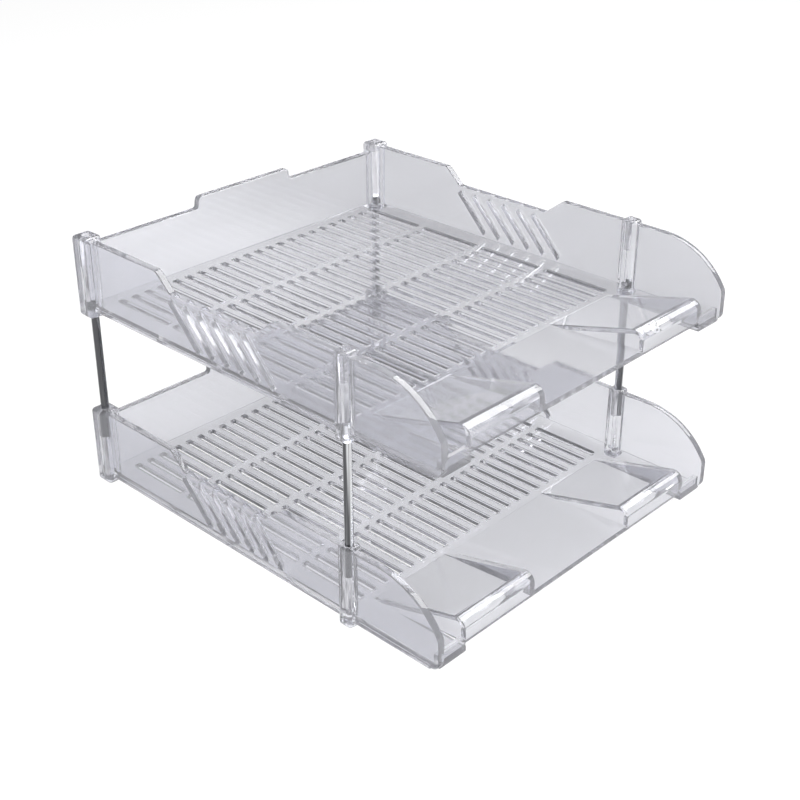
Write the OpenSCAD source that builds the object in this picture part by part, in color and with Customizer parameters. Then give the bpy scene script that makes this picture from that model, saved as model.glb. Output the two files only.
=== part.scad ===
// Two-tier letter tray: two clear trays of one shape, held apart by four steel rods.
// X is the width, -Y the open front, +Z up. The origin is under the middle of the tray, on the table.

/* [Tray] */
// Width across the outer faces of the side walls
tray_w = 270; // [240:1:300]
// Depth from the back wall's outer face to the front of the ears
tray_d = 313; // [300:1:340]
// Thickness of the walls and ears
wall_t = 5; // [3:0.1:5.5]
// Thickness of the floor, the apron and the lips
floor_t = 3.6; // [2:0.1:4]
// Height of the tray's underside above the bottom of the posts
foot_h = 5; // [3:0.5:8]
// Height of the side walls' high rim above the tray's underside
rim_h = 49; // [44:1:60]
// Height of the strip along the foot of the walls
bead_h = 2.5; // [1.5:0.1:4]
// How far that strip stands out of the walls
bead_proud = 0.8; // [0.4:0.1:1.5]

/* [Side walls] */
// Distance from the back posts' axis to the start of the dip in the rim
dip_start = 75; // [60:1:80]
// Length of the dip at the level of the high rim
dip_len = 106; // [100:1:120]
// Depth of the dip
dip_depth = 11.5; // [6:0.5:14]
// Length of the dip's slope at the back
dip_run_back = 12.5; // [8:0.5:20]
// Length of the dip's slope at the front
dip_run_front = 15; // [8:0.5:20]
// Number of slanted slots under the dip
wall_slot_count = 6; // [1:1:6]
// Spacing of the slanted slots
wall_slot_pitch = 13.5; // [8:0.1:14]
// Length of a slanted slot from end to end
wall_slot_len = 35; // [24:1:37]
// Width of a slanted slot
wall_slot_w = 1.4; // [1:0.1:3]
// Slope of the slanted slots, in degrees from level
wall_slot_angle = 46; // [30:1:50]
// Height of the middle of the slanted slots above the tray's underside
wall_slot_mid = 19.5; // [18:0.5:21]
// How far the row of slanted slots lies in front of the dip's middle
wall_slot_ahead = 5.5; // [0:0.5:10]

/* [Ears] */
// Level stretch of rim between the front post and the ear's curved edge
ear_flat = 20; // [10:0.5:24]
// Height of the ear's upright front above the tray's underside
ear_front_h = 21; // [14:0.5:26]
// Radius of the ear's lower front corner
ear_corner_r = 6; // [3:0.5:10]

/* [Back wall] */
// Height of the back wall above the tray's underside
back_h = 44.5; // [38:0.5:46]
// Width of the raised tab in the middle
tab_w = 82; // [60:1:120]
// Height of the tab above the back wall
tab_h = 8; // [5:0.5:12]
// Radius of the tab's corners
tab_r = 3; // [1:0.5:5]

/* [Floor grid] */
// How far the slotted floor reaches in front of the front posts' axis
grid_past_posts = 0; // [-5:0.5:5]
// Width of a floor slot
slot_w = 4.2; // [3:0.1:6]
// Spacing of the floor slots
slot_pitch = 10.4; // [8:0.1:14]
// Rows of slots from back to front
slot_rows = 4; // [2:1:6]
// Width of the cross ribs between the rows
cross_rib = 6; // [4:0.5:10]
// Plain floor between the back wall and the first row
margin_back = 8; // [6:0.5:12]
// Plain floor between the last row and the apron
margin_front = 5; // [3:0.5:8]
// Least plain floor between the side walls and the outer slots
margin_side = 13; // [10:0.5:20]

/* [Apron and lips] */
// How far the lips lie behind the front of the ears
lip_setback = 2; // [0:0.5:6]
// Width of the low middle of the apron
scoop_w = 94; // [70:1:120]
// Plain floor between a lip and the side wall
lip_side_gap = 19; // [12:1:26]
// Height of the lips above the tray's underside
lip_h = 21; // [18:0.5:26]
// Radius of the lips' round front
nose_r = 7; // [5:0.5:8]
// Thickness of the webs that close the lips' ends
web_t = 3; // [2:0.1:4]
// Height of the apron's front edge above the tray's underside
edge_lift = 6; // [3:0.5:8]

/* [Posts and rods] */
// Side of the square back posts
back_post_side = 14.5; // [12:0.5:16]
// Side of the square front posts
front_post_side = 11; // [10:0.5:14]
// Radius of the posts' upright edges
post_r = 3; // [2:0.1:4]
// Distance of the posts' axes inside the outer faces of the walls
post_inset = 3; // [2:0.1:3.5]
// Height of the posts above the high rim
post_rise = 2; // [0.5:0.5:4]
// Distance between the axes of a front and a back post
post_span = 237; // [230:1:245]
// Clear height between the lower and the upper posts
tier_gap = 70; // [50:1:100]
// Diameter of a rod
rod_d = 5.5; // [5:0.1:6]
// Depth of a rod in the lower tray's post
rod_seat_low = 21; // [15:0.5:24]
// Depth of a rod in the upper tray's post
rod_seat_high = 11; // [8:0.5:14]
// Chamfer on the ends of a rod
rod_chamfer = 0.5; // [0.2:0.1:0.8]
// Clearance around a rod in its socket
socket_clear = 0.06; // [0.02:0.01:0.1]
// Diameter of the narrow bore between a post's two sockets
post_core_d = 3.6; // [2:0.1:4]

/* [Hidden] */
$fn = 64;
clear_plastic = [0.82, 0.84, 0.88, 0.5];
steel = [0.75, 0.76, 0.78];
overcut = 1;

half_w = tray_w / 2;
inner_x = half_w - wall_t;
back_y = (tray_d - back_post_side / 2 + post_inset) / 2;
front_y = back_y - tray_d;
inner_back_y = back_y - wall_t;
lip_front_y = front_y + lip_setback;

floor_z = foot_h + floor_t;
rim_z = foot_h + rim_h;
edge_z = foot_h + edge_lift;
post_h = rim_z + post_rise;
tier_z = post_h + tier_gap;

post_x = half_w - post_inset;
post_back_y = back_y - post_inset;
post_front_y = post_back_y - post_span;
grid_front_y = post_front_y - grid_past_posts;
grid_d = inner_back_y - grid_front_y;
wall_back_y = post_back_y - back_post_side / 2;
wall_front_y = post_front_y + front_post_side / 2;
ear_back_y = post_front_y - front_post_side / 2;
ear_arc_y = ear_back_y - ear_flat;
ear_arc_run = ear_arc_y - front_y;
ear_arc_drop = rim_h - ear_front_h;
ear_arc_r = (pow(ear_arc_run, 2) + pow(ear_arc_drop, 2)) / (2 * ear_arc_drop);

lip_in_x = scoop_w / 2;
lip_out_x = inner_x - lip_side_gap;
nose_y = lip_front_y + nose_r;
nose_z = foot_h + lip_h - nose_r;
ramp_to_nose = [grid_front_y - nose_y, nose_z - floor_z];
ramp_angle = atan2(ramp_to_nose[1], ramp_to_nose[0]) + asin(nose_r / norm(ramp_to_nose));

slot_len = (grid_d - margin_back - margin_front - (slot_rows - 1) * cross_rib) / slot_rows;
slot_count = 1 + floor((2 * (inner_x - margin_side) - slot_w) / slot_pitch);

TIERS = ["lower", "upper"];
SIDES = ["left", "right"];
PLAIN_PIECES = ["floor_grid", "front_apron", "back_wall"];
SIDE_PIECES = ["wall", "ear", "sill", "lip", "back_post", "front_post"];

// Lifts a piece of the upper tray to its place
module on_tier(tier) {
    translate([0, 0, tier == "upper" ? tier_z : 0]) children();
}

// Turns a piece that is drawn on the right into the one on the left
module on_side(side) {
    mirror([side == "left" ? 1 : 0, 0, 0]) children();
}

// Extrudes a side view, drawn in Y and Z, across X
module across(x_from, x_to) {
    translate([x_from, 0, 0]) rotate([90, 0, 90]) linear_extrude(x_to - x_from) children();
}

// Rectangle between two corners
module box_2d(low, high) {
    translate(low) square(high - low);
}

// Square with round corners about the origin
module round_square(side, r) {
    square([side - 2 * r, side], center = true);
    square([side, side - 2 * r], center = true);
    for (x = [-1, 1], y = [-1, 1]) translate([x, y] * (side / 2 - r)) circle(r);
}

// Slotted floor between the walls, notched for the posts
module floor_grid() {
    color(clear_plastic) translate([0, 0, foot_h]) linear_extrude(floor_t) difference() {
        box_2d([-inner_x, grid_front_y], [inner_x, inner_back_y]);
        floor_slots();
        for (side = SIDES) on_side(side) post_notches();
    }
}

// Room for the posts of one side in the floor
module post_notches() {
    translate([post_x, post_back_y]) square(back_post_side, center = true);
    translate([post_x, post_front_y]) square(front_post_side, center = true);
}

// The pattern of long slots in rows, cut out of the floor
module floor_slots() {
    for (row = [0 : slot_rows - 1], column = [0 : slot_count - 1]) {
        slot_y = inner_back_y - margin_back - slot_len / 2 - row * (slot_len + cross_rib);
        translate([(column - (slot_count - 1) / 2) * slot_pitch, slot_y]) {
            square([slot_w, slot_len], center = true);
        }
    }
}

// Low middle of the apron, a plate that rises gently to its front edge
module front_apron() {
    color(clear_plastic) across(-lip_in_x, lip_in_x) polygon([
        [grid_front_y, foot_h],
        [grid_front_y, floor_z],
        [lip_front_y, edge_z + floor_t],
        [lip_front_y, edge_z]
    ]);
}

// Plain strip of floor between a lip and the ear, with a low curb at its front
module sill() {
    color(clear_plastic) {
        translate([0, 0, foot_h]) linear_extrude(floor_t) difference() {
            box_2d([lip_out_x, lip_front_y], [inner_x, grid_front_y]);
            post_notches();
        }
        across(lip_out_x, inner_x) {
            box_2d([lip_front_y, foot_h], [lip_front_y + floor_t, edge_z + floor_t]);
        }
    }
}

// Raised lip: a ramp from the floor to a round front, hollow below, with a web at each end
module lip() {
    color(clear_plastic) {
        across(lip_in_x, lip_out_x) difference() {
            lip_section(0, foot_h, edge_z);
            lip_section(floor_t, foot_h - overcut, foot_h - overcut);
        }
        across(lip_in_x, lip_in_x + web_t) lip_section(0, foot_h, edge_z);
        across(lip_out_x - web_t, lip_out_x) lip_section(0, foot_h, edge_z);
    }
}

// Side view of the lip, set in from its outer skin, down to a level at the back and at the front
module lip_section(inset, back_z, front_z) {
    polygon([
        [grid_front_y, back_z],
        [grid_front_y, floor_z - inset / cos(ramp_angle)],
        [nose_y + (nose_r - inset) * sin(ramp_angle), nose_z + (nose_r - inset) * cos(ramp_angle)],
        [nose_y, nose_z],
        [lip_front_y + inset, nose_z],
        [lip_front_y + inset, front_z]
    ]);
    translate([nose_y, nose_z]) circle(nose_r - inset);
}

// Side wall between the posts, with a dip in its rim and slanted slots under it
module wall() {
    color(clear_plastic) {
        across(inner_x, half_w) difference() {
            polygon([
                [wall_back_y, foot_h],
                [wall_back_y, rim_z],
                [post_back_y - dip_start, rim_z],
                [post_back_y - dip_start - dip_run_back, rim_z - dip_depth],
                [post_back_y - dip_start - dip_len + dip_run_front, rim_z - dip_depth],
                [post_back_y - dip_start - dip_len, rim_z],
                [wall_front_y, rim_z],
                [wall_front_y, foot_h]
            ]);
            wall_slots();
        }
        across(half_w, half_w + bead_proud) box_2d([wall_front_y, foot_h], [wall_back_y, foot_h + bead_h]);
    }
}

// Row of slanted slots with round ends, under the dip
module wall_slots() {
    run = wall_slot_len - wall_slot_w;
    row_y = post_back_y - dip_start - dip_len / 2 - wall_slot_ahead;
    for (i = [0 : wall_slot_count - 1]) {
        slot_y = row_y + ((wall_slot_count - 1) / 2 - i) * wall_slot_pitch;
        translate([slot_y, foot_h + wall_slot_mid]) rotate(wall_slot_angle) {
            square([run, wall_slot_w], center = true);
            for (end = [-1, 1]) translate([end * run / 2, 0]) circle(d = wall_slot_w);
        }
    }
}

// Side wall in front of the front post, with its top curved down to a short upright front
module ear() {
    color(clear_plastic) {
        across(inner_x, half_w) {
            box_2d([ear_arc_y, foot_h], [ear_back_y, rim_z]);
            intersection() {
                translate([ear_arc_y, rim_z - ear_arc_r]) circle(ear_arc_r, $fn = 128);
                box_2d([front_y, foot_h + ear_corner_r], [ear_arc_y, rim_z]);
            }
            box_2d([front_y + ear_corner_r, foot_h], [ear_arc_y, foot_h + ear_corner_r]);
            translate([front_y + ear_corner_r, foot_h + ear_corner_r]) circle(ear_corner_r);
        }
        across(half_w, half_w + bead_proud) {
            box_2d([front_y + ear_corner_r, foot_h], [ear_back_y, foot_h + bead_h]);
        }
    }
}

// Back wall between the back posts, with a raised tab in the middle
module back_wall() {
    span = post_x - back_post_side / 2;
    top_z = foot_h + back_h;
    color(clear_plastic) {
        translate([0, back_y, 0]) rotate([90, 0, 0]) linear_extrude(wall_t) {
            box_2d([-span, foot_h], [span, top_z]);
            box_2d([-tab_w / 2, top_z], [tab_w / 2, top_z + tab_h - tab_r]);
            box_2d([tab_r - tab_w / 2, top_z], [tab_w / 2 - tab_r, top_z + tab_h]);
            for (side = SIDES) on_side(side) {
                translate([tab_w / 2 - tab_r, top_z + tab_h - tab_r]) circle(tab_r);
            }
        }
        translate([-span, back_y, foot_h]) cube([2 * span, bead_proud, bead_h]);
    }
}

// Corner post with a rod socket in its top, another in its bottom and a narrow bore between them
module post(y, side) {
    socket_r = rod_d / 2 + socket_clear;
    color(clear_plastic) translate([post_x, y, 0]) difference() {
        linear_extrude(post_h) round_square(side, post_r);
        translate([0, 0, post_h - rod_seat_low]) cylinder(h = rod_seat_low + overcut, r = socket_r);
        cylinder(h = post_h, d = post_core_d);
        translate([0, 0, -overcut]) cylinder(h = rod_seat_high + overcut, r = socket_r);
    }
}

// Rod with chamfered ends, from its seat in the lower post to its seat in the upper post
module rod(y) {
    low_z = post_h - rod_seat_low;
    high_z = tier_z + rod_seat_high;
    color(steel) translate([post_x, y, 0]) rotate_extrude() polygon([
        [0, low_z],
        [rod_d / 2 - rod_chamfer, low_z],
        [rod_d / 2, low_z + rod_chamfer],
        [rod_d / 2, high_z - rod_chamfer],
        [rod_d / 2 - rod_chamfer, high_z],
        [0, high_z]
    ]);
}

for (tier = TIERS) on_tier(tier) {
    floor_grid();
    front_apron();
    back_wall();
    for (side = SIDES) on_side(side) {
        wall();
        ear();
        sill();
        lip();
        post(post_back_y, back_post_side);
        post(post_front_y, front_post_side);
    }
}
for (side = SIDES) on_side(side) {
    rod(post_back_y);
    rod(post_front_y);
}
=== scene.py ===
"""Two-tier letter tray in clear plastic on plated rods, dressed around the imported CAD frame."""
import math

import bmesh
import bpy
from mathutils import Matrix, Vector
from mathutils.geometry import tessellate_polygon


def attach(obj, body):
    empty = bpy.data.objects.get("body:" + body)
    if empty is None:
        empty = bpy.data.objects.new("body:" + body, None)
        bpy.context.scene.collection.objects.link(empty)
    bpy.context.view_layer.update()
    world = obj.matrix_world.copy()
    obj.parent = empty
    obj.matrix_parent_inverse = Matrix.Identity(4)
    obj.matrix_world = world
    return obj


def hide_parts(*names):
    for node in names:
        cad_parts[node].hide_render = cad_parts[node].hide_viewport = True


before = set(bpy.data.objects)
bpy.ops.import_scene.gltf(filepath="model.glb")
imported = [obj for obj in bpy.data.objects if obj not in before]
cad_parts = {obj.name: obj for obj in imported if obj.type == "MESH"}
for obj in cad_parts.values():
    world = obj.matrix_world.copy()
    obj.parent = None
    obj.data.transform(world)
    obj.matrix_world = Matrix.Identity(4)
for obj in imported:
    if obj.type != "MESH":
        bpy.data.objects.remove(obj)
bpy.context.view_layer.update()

# Sizes of the tray, in millimetres, the same as in the part's source
HALF_W = 135.0
WALL_T = 5.0
FLOOR_T = 3.6
FOOT_H = 5.0
RIM_Z = 54.0
POST_TOP = 56.0
BACK_HALF = 7.25
FRONT_HALF = 5.5
POST_R = 3.0
POST_X = 132.0
POST_BACK = 151.375
POST_FRONT = -85.625
BACK_Y = 154.375
FRONT_Y = -158.625
LIP_FRONT = -156.625
LIP_IN = 47.0
LIP_OUT = 111.0
NOSE_R = 7.0
NOSE_Y = LIP_FRONT + NOSE_R
NOSE_Z = FOOT_H + 21.0 - NOSE_R
EDGE_Z = FOOT_H + 6.0
TIER_Z = 126.0
SOCKET_R = 2.81
TOP_SEAT = 21.0
BOTTOM_SEAT = 11.0
CORE_R = 1.8
INNER_X = HALF_W - WALL_T
FLOOR_Z = FOOT_H + FLOOR_T
SLOT_ROWS = 4
SLOT_COLUMNS = 23
SLOT_PITCH = 10.4
SLOT_W = 4.2
SLOT_RIB = 6.0
SLOT_BACK_GAP = 8.0
SLOT_FRONT_GAP = 5.0
DIP_START = 75.0
DIP_BACK = POST_BACK - DIP_START
DIP_LEN = 106.0
DIP_DEPTH = 11.5
DIP_BACK_RUN = 12.5
DIP_FRONT_RUN = 15.0
WALL_SLOTS = 6
WALL_SLOT_LEN = 35.0
WALL_SLOT_W = 1.4
WALL_SLOT_ANGLE = 46
WALL_SLOT_PITCH = 13.5
WALL_SLOT_MID = 19.5
WALL_SLOT_AHEAD = 5.5
EAR_FLAT = 20.0
EAR_FRONT_H = 21.0
EAR_CORNER = 6.0
BACK_H = 44.5
TAB_RISE = 8.0
TAB_HALF = 41.0
TAB_R = 3.0
WEB_T = 3.0
BEAD_H = 2.5
BEAD_OUT = 0.8
MM = 0.001

# How far a section reaches into its neighbours, so that they join
REACH = 2.0
BITE = 1.5

# Rounded edges and corners, mouths and small slopes, in millimetres, that only the dressed part has
EDGE = 0.7
FLOOR_EDGE = 0.3
WALL_SLOT_EDGE = 2.4
EAR_EDGE = 0.8
APRON_EDGE = 0.6
BEAD_EDGE = 0.4
SLOT_CORNER = 0.4
DIP_TOP_R = 4.0
DIP_LOW_R = 3.0
TAB_FOOT_R = 2.0
TAB_SLOPE = 1.5
MOUTH_R = 3.1
MOUTH_DEPTH = 0.3
EAR_TIP_DROP = 1.5

# Limits of the mesh: longest facet and least rise that are shaded smooth, sharpest corner of an inset,
# and the degrees by which the ear's arc ends before its tip
LONGEST_FACET = 2.5
LEAST_RISE = 0.1
SHARPEST = 0.3
EAR_TIP_TURN = 1.2


# Outlines
def arc(cx, cy, r, start, end, steps):
    """Points on an arc, angles in degrees, both ends included."""
    points = []
    for i in range(steps + 1):
        a = math.radians(start + (end - start) * i / steps)
        points.append((cx + r * math.cos(a), cy + r * math.sin(a)))
    return points


def rounded(points, radii, steps=6):
    """The outline with each corner replaced by an arc of its radius, where that is not zero."""
    out = []
    n = len(points)
    for i, p in enumerate(points):
        r = radii[i] if isinstance(radii, (list, tuple)) else radii
        p = Vector(p)
        if r <= 0:
            out.append((p.x, p.y))
            continue
        a = (Vector(points[i - 1]) - p).normalized()
        b = (Vector(points[(i + 1) % n]) - p).normalized()
        half = a.angle(b) / 2
        reach = r / math.tan(half)
        centre = p + (a + b).normalized() * (r / math.sin(half))
        start = p + a * reach - centre
        turn = start.angle_signed(p + b * reach - centre)
        for k in range(steps + 1):
            c, s = math.cos(-turn * k / steps), math.sin(-turn * k / steps)
            out.append((centre.x + c * start.x - s * start.y, centre.y + s * start.x + c * start.y))
    return out


def box_outline(x0, y0, x1, y1):
    return [(x0, y0), (x1, y0), (x1, y1), (x0, y1)]


def signed_area(points):
    return sum(p[0] * q[1] - q[0] * p[1] for p, q in zip(points, points[1:] + points[:1])) / 2


def inset(points, d):
    """The outline moved inwards by d along its corners' bisectors, for a counter-clockwise outline."""
    out = []
    n = len(points)
    for i in range(n):
        p, q, r = Vector(points[i - 1]), Vector(points[i]), Vector(points[(i + 1) % n])
        a, b = (q - p).normalized(), (r - q).normalized()
        na, nb = Vector((-a.y, a.x)), Vector((-b.y, b.x))
        mid = (na + nb).normalized()
        out.append(tuple(q + mid * (d / max(mid.dot(na), SHARPEST))))
    return out


# Solids
def edge_layers(height, edge, steps):
    """Distances inwards and heights of the rings that round both edges of a plate."""
    layers = []
    for k in range(steps + 1):
        a = math.pi / 2 * k / steps
        layers.append((edge * (1 - math.sin(a)), edge * (1 - math.cos(a))))
    return layers + [(d, height - z) for d, z in reversed(layers)]


def plate(outer, holes, height, edge, steps=3, hole_edge=None):
    """A closed plate from z = 0 to height with round edges along its outline and around its holes."""
    if signed_area(outer) < 0:
        outer = outer[::-1]
    holes = [h[::-1] if signed_area(h) > 0 else h for h in holes]
    verts, faces, smooth, bottom, top = [], [], [], [], []
    for number, loop in enumerate([outer] + holes):
        rings = []
        for d, z in edge_layers(height, hole_edge if number and hole_edge else edge, steps):
            ring = []
            for x, y in inset(loop, d):
                ring.append(len(verts))
                verts.append((x, y, z))
            rings.append(ring)
        n = len(loop)
        for k, (low, high) in enumerate(zip(rings, rings[1:])):
            for i in range(n):
                j = (i + 1) % n
                faces.append((low[i], low[j], high[j], high[i]))
                smooth.append(k != steps or math.dist(loop[i], loop[j]) < LONGEST_FACET)
        bottom.append(rings[0])
        top.append(rings[-1])
    for rings, flip in ((bottom, True), (top, False)):
        order = [i for ring in rings for i in ring]
        for tri in tessellate_polygon([[Vector(verts[i]) for i in ring] for ring in rings]):
            tri = [order[i] for i in tri]
            a, b, c = (Vector(verts[i]) for i in tri)
            up = (b - a).cross(c - a).z > 0
            faces.append(tuple(tri if up != flip else tri[::-1]))
            smooth.append(False)
    return verts, faces, smooth


def lathe(profile, steps=48):
    """A closed solid turned around z from (radius, z) points that start and end on the axis."""
    verts, faces, smooth, rings = [], [], [], []
    for r, z in profile:
        if r < 1e-6:
            rings.append([len(verts)])
            verts.append((0, 0, z))
        else:
            rings.append(list(range(len(verts), len(verts) + steps)))
            for k in range(steps):
                a = 2 * math.pi * k / steps
                verts.append((r * math.cos(a), r * math.sin(a), z))
    for low, high in zip(rings, rings[1:]):
        for i in range(steps):
            j = (i + 1) % steps
            if len(low) == 1:
                faces.append((low[0], high[j], high[i]))
            elif len(high) == 1:
                faces.append((low[i], low[j], high[0]))
            else:
                faces.append((low[i], low[j], high[j], high[i]))
            smooth.append(abs(verts[low[0]][2] - verts[high[0]][2]) > LEAST_RISE)
    return verts, faces, smooth


def across_x(x0):
    """Stands a side view, drawn in Y and Z, up and puts its first face at x0."""
    return Matrix(((0, 0, 1, x0), (1, 0, 0, 0), (0, 1, 0, 0), (0, 0, 0, 1)))


def across_y(y1):
    """Stands a front view, drawn in X and Z, up and puts its first face at y1; it grows to -Y."""
    return Matrix(((1, 0, 0, 0), (0, 0, -1, y1), (0, 1, 0, 0), (0, 0, 0, 1)))


MIRROR_X = Matrix.Diagonal((-1, 1, 1, 1))


def solid(name, geometry, matrix=Matrix(), mirror=False):
    """A mesh object in metres from millimetre points, with its faces turned outwards."""
    verts, faces, smooth = geometry
    if mirror:
        matrix = MIRROR_X @ matrix
    mesh = bpy.data.meshes.new(name)
    mesh.from_pydata([matrix @ Vector(v) * MM for v in verts], [], faces)
    work = bmesh.new()
    work.from_mesh(mesh)
    bmesh.ops.recalc_face_normals(work, faces=work.faces)
    work.to_mesh(mesh)
    work.free()
    mesh.polygons.foreach_set("use_smooth", smooth)
    piece = bpy.data.objects.new(name, mesh)
    bpy.context.scene.collection.objects.link(piece)
    return piece


def combine(target, others, operation):
    """Joins or cuts the target with the others, which are then removed."""
    for other in others:
        modifier = target.modifiers.new("join", "BOOLEAN")
        modifier.operation = operation
        modifier.solver = "MANIFOLD"
        modifier.object = other
        graph = bpy.context.evaluated_depsgraph_get()
        mesh = bpy.data.meshes.new_from_object(target.evaluated_get(graph))
        target.modifiers.clear()
        old = target.data
        target.data = mesh
        bpy.data.meshes.remove(old)
        bpy.data.objects.remove(other)


# The tray's sections
def floor_plate():
    side, notch, step = INNER_X + REACH, LIP_OUT - BITE, POST_FRONT - BITE
    outline = [(-side, LIP_FRONT), (-notch, LIP_FRONT), (-notch, step), (notch, step), (notch, LIP_FRONT),
               (side, LIP_FRONT), (side, BACK_Y - REACH), (-side, BACK_Y - REACH)]
    back, front = BACK_Y - WALL_T - SLOT_BACK_GAP, POST_FRONT + SLOT_FRONT_GAP
    length = (back - front - (SLOT_ROWS - 1) * SLOT_RIB) / SLOT_ROWS
    slots = []
    for row in range(SLOT_ROWS):
        y1 = back - row * (length + SLOT_RIB)
        for column in range(SLOT_COLUMNS):
            x = (column - (SLOT_COLUMNS - 1) / 2) * SLOT_PITCH
            slot = box_outline(x - SLOT_W / 2, y1 - length, x + SLOT_W / 2, y1)
            slots.append(rounded(slot, SLOT_CORNER, 2))
    lift = Matrix.Translation((0, 0, FOOT_H))
    return solid("floor", plate(outline, slots, FLOOR_T, FLOOR_EDGE), lift)


def wall_piece(mirror):
    back, front = POST_BACK, POST_FRONT
    low = RIM_Z - DIP_DEPTH
    dip_front = DIP_BACK - DIP_LEN
    outline = rounded(
        [(front, FOOT_H), (back, FOOT_H), (back, RIM_Z), (DIP_BACK, RIM_Z), (DIP_BACK - DIP_BACK_RUN, low),
         (dip_front + DIP_FRONT_RUN, low), (dip_front, RIM_Z), (front, RIM_Z)],
        [0, 0, 0, DIP_TOP_R, DIP_LOW_R, DIP_LOW_R, DIP_TOP_R, 0])
    slots = []
    run, half = WALL_SLOT_LEN - WALL_SLOT_W, WALL_SLOT_W / 2
    c, s = math.cos(math.radians(WALL_SLOT_ANGLE)), math.sin(math.radians(WALL_SLOT_ANGLE))
    shape = arc(run / 2, 0, half, -90, 90, 8) + arc(-run / 2, 0, half, 90, 270, 8)
    z = FOOT_H + WALL_SLOT_MID
    for i in range(WALL_SLOTS):
        y = DIP_BACK - DIP_LEN / 2 - WALL_SLOT_AHEAD + ((WALL_SLOTS - 1) / 2 - i) * WALL_SLOT_PITCH
        slots.append([(y + c * u - s * v, z + s * u + c * v) for u, v in shape])
    return solid("wall", plate(outline, slots, WALL_T, EDGE, 6, WALL_SLOT_EDGE), across_x(INNER_X), mirror)


def ear_piece(mirror):
    start = POST_FRONT - FRONT_HALF - EAR_FLAT
    run, drop = start - FRONT_Y, RIM_Z - FOOT_H - EAR_FRONT_H
    radius = (run * run + drop * drop) / (2 * drop)
    end = 90 + math.degrees(math.asin(run / radius))
    curve = arc(start, RIM_Z - radius, radius, 90, end - EAR_TIP_TURN, 40)
    corner = arc(FRONT_Y + EAR_CORNER, FOOT_H + EAR_CORNER, EAR_CORNER, 180, 270, 10)
    outline = [(POST_FRONT, FOOT_H), (POST_FRONT, RIM_Z)] + curve
    outline += [(FRONT_Y, FOOT_H + EAR_FRONT_H - EAR_TIP_DROP)] + corner
    return solid("ear", plate(outline, [], WALL_T, EAR_EDGE), across_x(INNER_X), mirror)


def back_piece():
    top = FOOT_H + BACK_H
    tab, foot = top + TAB_RISE, TAB_HALF + TAB_SLOPE
    outline = rounded(
        [(-POST_X, FOOT_H), (POST_X, FOOT_H), (POST_X, top), (foot, top), (TAB_HALF, tab), (-TAB_HALF, tab),
         (-foot, top), (-POST_X, top)],
        [0, 0, 0, TAB_FOOT_R, TAB_R, TAB_R, TAB_FOOT_R, 0])
    return solid("back", plate(outline, [], WALL_T, EDGE), across_y(BACK_Y))


def post_piece(y, half, mirror):
    side = box_outline(-half, -half, half, half)
    body = solid("post", plate(rounded(side, POST_R, 8), [], POST_TOP, half / 3, 5),
                 Matrix.Translation((POST_X, y, 0)), mirror)
    seat = POST_TOP - TOP_SEAT
    bore = lathe([(0, -1.0), (MOUTH_R, -1.0), (MOUTH_R, 0.0), (SOCKET_R, MOUTH_DEPTH),
                  (SOCKET_R, BOTTOM_SEAT), (CORE_R, BOTTOM_SEAT), (CORE_R, seat), (SOCKET_R, seat),
                  (SOCKET_R, POST_TOP - MOUTH_DEPTH), (MOUTH_R, POST_TOP), (MOUTH_R, POST_TOP + 1),
                  (0, POST_TOP + 1)])
    combine(body, [solid("bore", bore, Matrix.Translation((POST_X, y, 0)), mirror)], "DIFFERENCE")
    return body


def lip_sections():
    """Side views of the lip: its shell and the full section of its end webs."""
    du, dv = POST_FRONT - NOSE_Y, NOSE_Z - FLOOR_Z
    slope = math.atan2(dv, du) + math.asin(NOSE_R / math.hypot(du, dv))
    turn = 90 - math.degrees(slope)
    outer = [(POST_FRONT, FLOOR_Z)] + arc(NOSE_Y, NOSE_Z, NOSE_R, turn, 180, 14)
    inner_r = NOSE_R - FLOOR_T
    inner = arc(NOSE_Y, NOSE_Z, inner_r, 180, turn, 14)
    low = FLOOR_Z - FLOOR_T / math.cos(slope)
    back = (POST_FRONT, FOOT_H)
    meet = POST_FRONT - (FOOT_H - low) / math.tan(slope)
    shell = outer + [(LIP_FRONT, EDGE_Z), (LIP_FRONT + FLOOR_T, EDGE_Z)] + inner + [(meet, FOOT_H), back]
    web = outer + [(LIP_FRONT, EDGE_Z), back]
    return shell, web


def lip_pieces(mirror):
    shell, web = lip_sections()
    return [solid("lip", plate(shell, [], LIP_OUT - LIP_IN, EDGE), across_x(LIP_IN), mirror),
            solid("web", plate(web, [], WEB_T, EDGE), across_x(LIP_IN), mirror),
            solid("web", plate(web, [], WEB_T, EDGE), across_x(LIP_OUT - WEB_T), mirror)]


def apron_piece():
    outline = [(POST_FRONT + 1, FOOT_H), (POST_FRONT + 1, FLOOR_Z), (POST_FRONT, FLOOR_Z),
               (LIP_FRONT, EDGE_Z + FLOOR_T), (LIP_FRONT, EDGE_Z), (POST_FRONT, FOOT_H)]
    return solid("apron", plate(outline, [], 2 * (LIP_IN + BITE), APRON_EDGE), across_x(-LIP_IN - BITE))


def curb_piece(mirror):
    outline = box_outline(LIP_FRONT, FOOT_H, LIP_FRONT + FLOOR_T, EDGE_Z + FLOOR_T)
    width = INNER_X + REACH - LIP_OUT + BITE
    return solid("curb", plate(outline, [], width, EDGE), across_x(LIP_OUT - BITE), mirror)


def bead_pieces(mirror):
    def strip(y0, y1):
        outline = box_outline(y0, FOOT_H, y1, FOOT_H + BEAD_H)
        bead = plate(outline, [], REACH + BEAD_OUT, BEAD_EDGE)
        return solid("bead", bead, across_x(HALF_W - REACH), mirror)
    return [strip(POST_FRONT, POST_BACK), strip(FRONT_Y + EAR_CORNER, POST_FRONT)]


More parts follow.
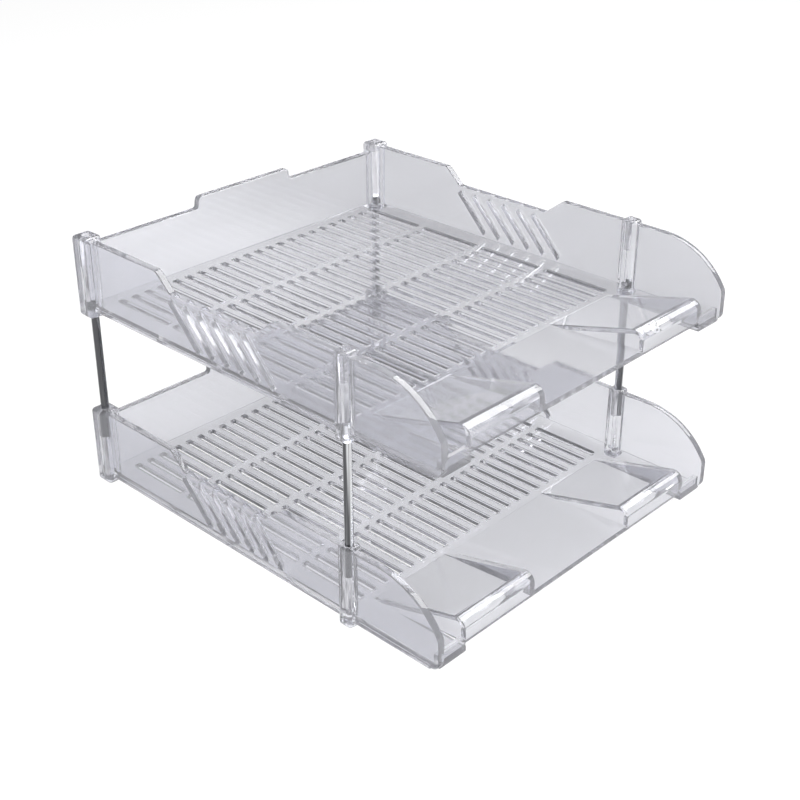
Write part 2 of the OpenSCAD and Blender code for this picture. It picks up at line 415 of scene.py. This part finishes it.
def tray_piece(name):
    tray = floor_plate()
    tray.name = tray.data.name = name
    parts = [back_piece(), apron_piece()]
    outline = box_outline(-POST_X, FOOT_H, POST_X, FOOT_H + BEAD_H)
    bead = plate(outline, [], REACH + BEAD_OUT, BEAD_EDGE)
    parts.append(solid("bead", bead, across_y(BACK_Y + BEAD_OUT)))
    for mirror in (False, True):
        parts += [wall_piece(mirror), ear_piece(mirror), curb_piece(mirror)]
        parts += lip_pieces(mirror) + bead_pieces(mirror)
        parts += [post_piece(POST_BACK, BACK_HALF, mirror), post_piece(POST_FRONT, FRONT_HALF, mirror)]
    combine(tray, parts, "UNION")
    return tray


# Materials
def new_material(name):
    material = bpy.data.materials.new(name)
    material.use_nodes = True
    nodes = material.node_tree.nodes
    return material, nodes, material.node_tree.links, nodes["Principled BSDF"]


def clear_plastic():
    material, nodes, links, shader = new_material("clear_plastic")
    shader.inputs["Base Color"].default_value = (0.785, 0.788, 0.828, 1)
    shader.inputs["Transmission Weight"].default_value = 0.905
    shader.inputs["IOR"].default_value = 1.55
    where = nodes.new("ShaderNodeTexCoord")
    flow = nodes.new("ShaderNodeTexNoise")
    flow.inputs["Scale"].default_value = 38
    flow.inputs["Detail"].default_value = 2
    links.new(where.outputs["Object"], flow.inputs["Vector"])
    bump = nodes.new("ShaderNodeBump")
    bump.inputs["Strength"].default_value = 0.10
    bump.inputs["Distance"].default_value = 0.0004
    links.new(flow.outputs["Fac"], bump.inputs["Height"])
    links.new(bump.outputs["Normal"], shader.inputs["Normal"])
    haze = nodes.new("ShaderNodeTexNoise")
    haze.inputs["Scale"].default_value = 300
    haze.inputs["Detail"].default_value = 4
    links.new(where.outputs["Object"], haze.inputs["Vector"])
    ramp = nodes.new("ShaderNodeMapRange")
    ramp.inputs["To Min"].default_value = 0.015
    ramp.inputs["To Max"].default_value = 0.06
    links.new(haze.outputs["Fac"], ramp.inputs["Value"])
    links.new(ramp.outputs["Result"], shader.inputs["Roughness"])
    return material


def plated_steel():
    material, nodes, links, shader = new_material("plated_steel")
    shader.inputs["Metallic"].default_value = 1.0
    where = nodes.new("ShaderNodeTexCoord")
    stretch = nodes.new("ShaderNodeMapping")
    stretch.inputs["Scale"].default_value = (430, 430, 5)
    links.new(where.outputs["Object"], stretch.inputs["Vector"])
    # Lengthwise streaks along the rod: they give its bump and roughness, and in the base colour they are
    # painted reflections
    grain_and_painted_reflection = nodes.new("ShaderNodeTexNoise")
    grain_and_painted_reflection.inputs["Scale"].default_value = 1
    grain_and_painted_reflection.inputs["Detail"].default_value = 5
    links.new(stretch.outputs["Vector"], grain_and_painted_reflection.inputs["Vector"])
    # Painted reflection: dark and light base colours stand for a dark room and bright lines mirrored in the
    # rod
    painted_reflection_tone = nodes.new("ShaderNodeValToRGB")
    painted_reflection_tone.color_ramp.elements[0].position = 0.44
    painted_reflection_tone.color_ramp.elements[1].position = 0.58
    painted_reflection_tone.color_ramp.elements[0].color = (0.14, 0.142, 0.15, 1)
    painted_reflection_tone.color_ramp.elements[1].color = (0.84, 0.85, 0.87, 1)
    links.new(grain_and_painted_reflection.outputs["Fac"], painted_reflection_tone.inputs["Fac"])
    links.new(painted_reflection_tone.outputs["Color"], shader.inputs["Base Color"])
    gloss = nodes.new("ShaderNodeMapRange")
    gloss.inputs["To Min"].default_value = 0.10
    gloss.inputs["To Max"].default_value = 0.24
    links.new(grain_and_painted_reflection.outputs["Fac"], gloss.inputs["Value"])
    links.new(gloss.outputs["Result"], shader.inputs["Roughness"])
    bump = nodes.new("ShaderNodeBump")
    bump.inputs["Strength"].default_value = 0.15
    bump.inputs["Distance"].default_value = 0.0001
    links.new(grain_and_painted_reflection.outputs["Fac"], bump.inputs["Height"])
    links.new(bump.outputs["Normal"], shader.inputs["Normal"])
    return material


# The two trays and the rods
plastic = clear_plastic()
lower = tray_piece("lower_tray_moulding")
upper = bpy.data.objects.new("upper_tray_moulding", lower.data.copy())
upper.data.name = upper.name
upper.data.transform(Matrix.Translation((0, 0, TIER_Z * MM)))
bpy.context.scene.collection.objects.link(upper)
for piece, tier in ((lower, "lower"), (upper, "upper")):
    piece.data.materials.clear()
    piece.data.materials.append(plastic)
    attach(piece, tier + "_tray")
    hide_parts(*[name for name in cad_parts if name.startswith(tier + "_")])

steel = plated_steel()
for name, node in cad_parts.items():
    if name.endswith("_rod"):
        node.data.materials.clear()
        node.data.materials.append(steel)


# Floor, world and lamps
def stage_floor():
    """A pale floor that the camera sees white, dimmer in mirrors and through the plastic, where a painted
    shade darkens it towards +X.
    """
    material, nodes, links, shader = new_material("pale_floor")
    shader.inputs["Base Color"].default_value = (0.14, 0.14, 0.14, 1)
    shader.inputs["Roughness"].default_value = 0.9
    shader.inputs["Specular IOR Level"].default_value = 0.0
    where = nodes.new("ShaderNodeNewGeometry")
    split = nodes.new("ShaderNodeSeparateXYZ")
    links.new(where.outputs["Position"], split.inputs["Vector"])
    # Painted shade: seen through the plastic, the floor's glow drops from 0.92 to 0.62 between x = 0.20 and
    # 0.34 m
    painted_shade_along_x = nodes.new("ShaderNodeMapRange")
    painted_shade_along_x.inputs["From Min"].default_value = 0.20
    painted_shade_along_x.inputs["From Max"].default_value = 0.34
    painted_shade_along_x.inputs["To Min"].default_value = 0.92
    painted_shade_along_x.inputs["To Max"].default_value = 0.62
    links.new(split.outputs["X"], painted_shade_along_x.inputs["Value"])
    path = nodes.new("ShaderNodeLightPath")
    through = nodes.new("ShaderNodeMath")
    through.operation = "MULTIPLY"
    links.new(path.outputs["Is Transmission Ray"], through.inputs[0])
    links.new(painted_shade_along_x.outputs["Result"], through.inputs[1])
    mirrored = nodes.new("ShaderNodeMath")
    mirrored.operation = "MULTIPLY"
    mirrored.inputs[1].default_value = 0.6
    links.new(path.outputs["Is Glossy Ray"], mirrored.inputs[0])
    beyond = nodes.new("ShaderNodeMath")
    beyond.operation = "MAXIMUM"
    links.new(mirrored.outputs["Value"], beyond.inputs[0])
    links.new(through.outputs["Value"], beyond.inputs[1])
    shown = nodes.new("ShaderNodeMath")
    shown.operation = "MAXIMUM"
    links.new(path.outputs["Is Camera Ray"], shown.inputs[0])
    links.new(beyond.outputs["Value"], shown.inputs[1])
    lift = nodes.new("ShaderNodeMath")
    lift.operation = "MULTIPLY"
    lift.inputs[1].default_value = 0.90
    links.new(shown.outputs["Value"], lift.inputs[0])
    shader.inputs["Emission Color"].default_value = (1, 1, 1, 1)
    links.new(lift.outputs["Value"], shader.inputs["Emission Strength"])
    mesh = bpy.data.meshes.new("floor")
    mesh.from_pydata([(-8, -8, 0), (8, -8, 0), (8, 8, 0), (-8, 8, 0)], [], [(0, 1, 2, 3)])
    mesh.materials.append(material)
    floor = bpy.data.objects.new("floor", mesh)
    floor.location.z = -0.0002
    bpy.context.scene.collection.objects.link(floor)


def studio_world():
    world = bpy.data.worlds.new("studio")
    bpy.context.scene.world = world
    world.use_nodes = True
    nodes, links = world.node_tree.nodes, world.node_tree.links
    where = nodes.new("ShaderNodeTexCoord")
    split = nodes.new("ShaderNodeSeparateXYZ")
    links.new(where.outputs["Generated"], split.inputs["Vector"])
    ramp = nodes.new("ShaderNodeValToRGB")
    links.new(split.outputs["Z"], ramp.inputs["Fac"])
    ramp.color_ramp.elements[0].position = 0.06
    ramp.color_ramp.elements[0].color = (0.9, 0.9, 0.9, 1)
    ramp.color_ramp.elements[1].position = 0.26
    ramp.color_ramp.elements[1].color = (0.04, 0.041, 0.045, 1)
    links.new(ramp.outputs["Color"], nodes["Background"].inputs["Color"])
    nodes["Background"].inputs["Strength"].default_value = 1.0


def softbox(name, towards, along, distance, size, radiance, mirrored=True):
    """A rectangular lamp in a direction from the object, its long side along a direction.

    A lamp that is not mirrored lights the object but shows no reflection of itself.
    """
    lamp = bpy.data.lights.new(name, "AREA")
    lamp.shape = "RECTANGLE"
    lamp.size, lamp.size_y = size
    lamp.energy = radiance * math.pi * size[0] * size[1]
    facing = Vector(towards).normalized()
    side = Vector(along) - facing * facing.dot(Vector(along))
    side.normalize()
    turn = Matrix((side, facing.cross(side), facing)).transposed().to_4x4()
    holder = bpy.data.objects.new(name, lamp)
    holder.matrix_world = Matrix.Translation(Vector((0, 0, 0.1)) + facing * distance) @ turn
    holder.visible_glossy = mirrored
    bpy.context.scene.collection.objects.link(holder)


stage_floor()
studio_world()
softbox("key", (0.60, -0.16, 0.80), (0, 0.894, 0.447), 1.55, (1.5, 1.1), 7)
softbox("fill", (-0.66, -0.53, 0.53), (0.58, -0.72, 0), 1.4, (2.4, 0.8), 8, False)


# Camera, as fitted to the photograph, with its picture sizes in pixels
IMAGE_PX = 800
FOCAL_PX = 1380.53
SHIFT_PX = -34
SENSOR_MM = 36


def photo_camera():
    azimuth, elevation, distance = math.radians(-46.42), math.radians(27.19), 0.91732
    target = Vector((0.00047, 0, 0.09183))
    back = Vector((math.sin(azimuth) * math.cos(elevation), -math.cos(azimuth) * math.cos(elevation),
                   math.sin(elevation)))
    right = Vector((math.cos(azimuth), math.sin(azimuth), 0))
    up = back.cross(right)
    data = bpy.data.cameras.new("camera")
    data.sensor_width = SENSOR_MM
    data.lens = FOCAL_PX / IMAGE_PX * SENSOR_MM
    data.shift_y = SHIFT_PX / IMAGE_PX
    data.clip_end = 50
    camera = bpy.data.objects.new("camera", data)
    turn = Matrix((right, up, back)).transposed().to_4x4()
    camera.matrix_world = Matrix.Translation(target + back * distance) @ turn
    bpy.context.scene.collection.objects.link(camera)
    bpy.context.scene.camera = camera


photo_camera()
scene = bpy.context.scene
scene.view_settings.view_transform = "Standard"
scene.cycles.max_bounces = 96
scene.cycles.transmission_bounces = 96
scene.cycles.glossy_bounces = 8
scene.cycles.use_denoising = True
